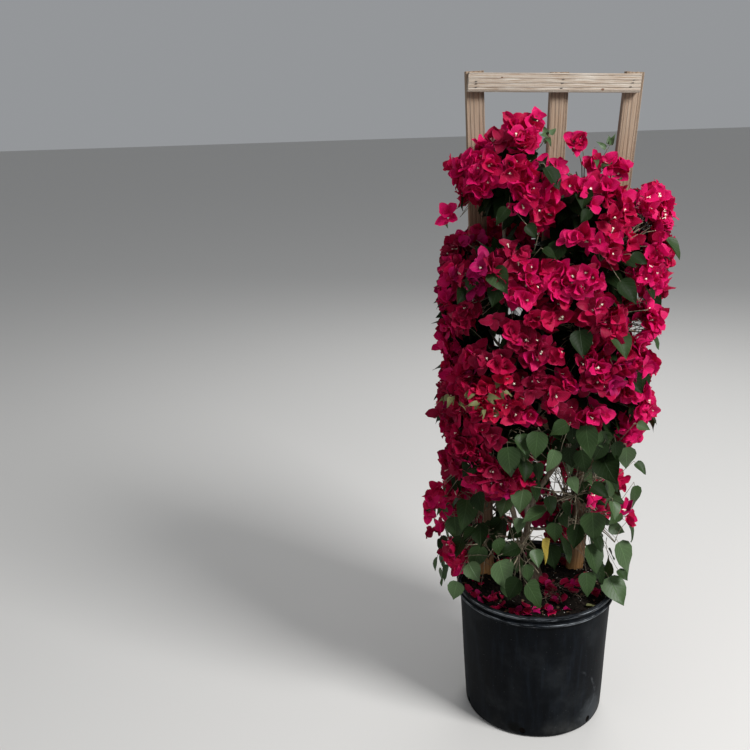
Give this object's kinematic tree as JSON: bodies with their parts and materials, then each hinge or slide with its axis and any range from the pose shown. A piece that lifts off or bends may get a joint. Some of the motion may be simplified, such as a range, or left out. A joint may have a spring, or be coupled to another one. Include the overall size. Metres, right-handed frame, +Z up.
{
  "type": "potted bougainvillea bush on a fan trellis",
  "caption": "Bougainvillea in full crimson bloom, trained up a wooden fan trellis in a black plastic nursery pot",
  "frame": {"origin": "middle of the pot's flat underside, on the plane that it stands on", "axes": "+Z up along the height, -Y towards the front of the trellis, +X to the right seen from the front; metres in the packed files"},
  "size_m": [0.5359, 0.464, 1.4725],
  "materials": {
    "pot_plastic": "satin",
    "bark_mix": "matte",
    "lumber": "matte",
    "bark": "matte",
    "bloom": "satin",
    "foliage": "satin"
  },
  "bodies": {
    "root": {"trellis_upright_left": "lumber", "trellis_upright_middle": "lumber", "trellis_upright_right": "lumber", "trellis_rail_top": "lumber", "trellis_rail_middle": "lumber", "trellis_rail_bottom": "lumber", "pot": "pot_plastic", "soil": "bark_mix", "trunk": "bark", "cane_right": "bark", "cane_left": "bark", "cane_middle": "bark", "bough_top_left": "bark", "bough_top_right": "bark", "bough_front_upper_left": "bark", "bough_front_upper_right": "bark", "bough_front_middle_left": "bark", "bough_front_middle_right": "bark", "bough_front_lower_left": "bark", "bough_front_lower_right": "bark", "bough_side_upper_left": "bark", "bough_side_upper_right": "bark", "bough_side_lower_left": "bark", "bough_side_lower_right": "bark", "bough_back_upper_left": "bark", "bough_back_upper_right": "bark", "bough_back_lower_left": "bark", "bough_back_lower_right": "bark", "bough_low_front_left": "bark", "bough_low_front_right": "bark", "bough_low_middle_left": "bark", "bough_low_middle_right": "bark", "bough_low_back_left": "bark", "bough_low_back_right": "bark", "bloom_top_left": "bloom", "bloom_top_right": "bloom", "bloom_front_upper_left": "bloom", "bloom_front_upper_right": "bloom", "bloom_front_middle_left": "bloom", "bloom_front_middle_right": "bloom", "bloom_front_lower_left": "bloom", "bloom_front_lower_right": "bloom", "bloom_side_upper_left": "bloom", "bloom_side_upper_right": "bloom", "bloom_side_lower_left": "bloom", "bloom_side_lower_right": "bloom", "bloom_back_upper_left": "bloom", "bloom_back_upper_right": "bloom", "bloom_back_lower_left": "bloom", "bloom_back_lower_right": "bloom", "leaves_low_front_left": "foliage", "leaves_low_front_right": "foliage", "leaves_low_middle_left": "foliage", "leaves_low_middle_right": "foliage", "leaves_low_back_left": "foliage", "leaves_low_back_right": "foliage"}
  },
  "joints": []
}
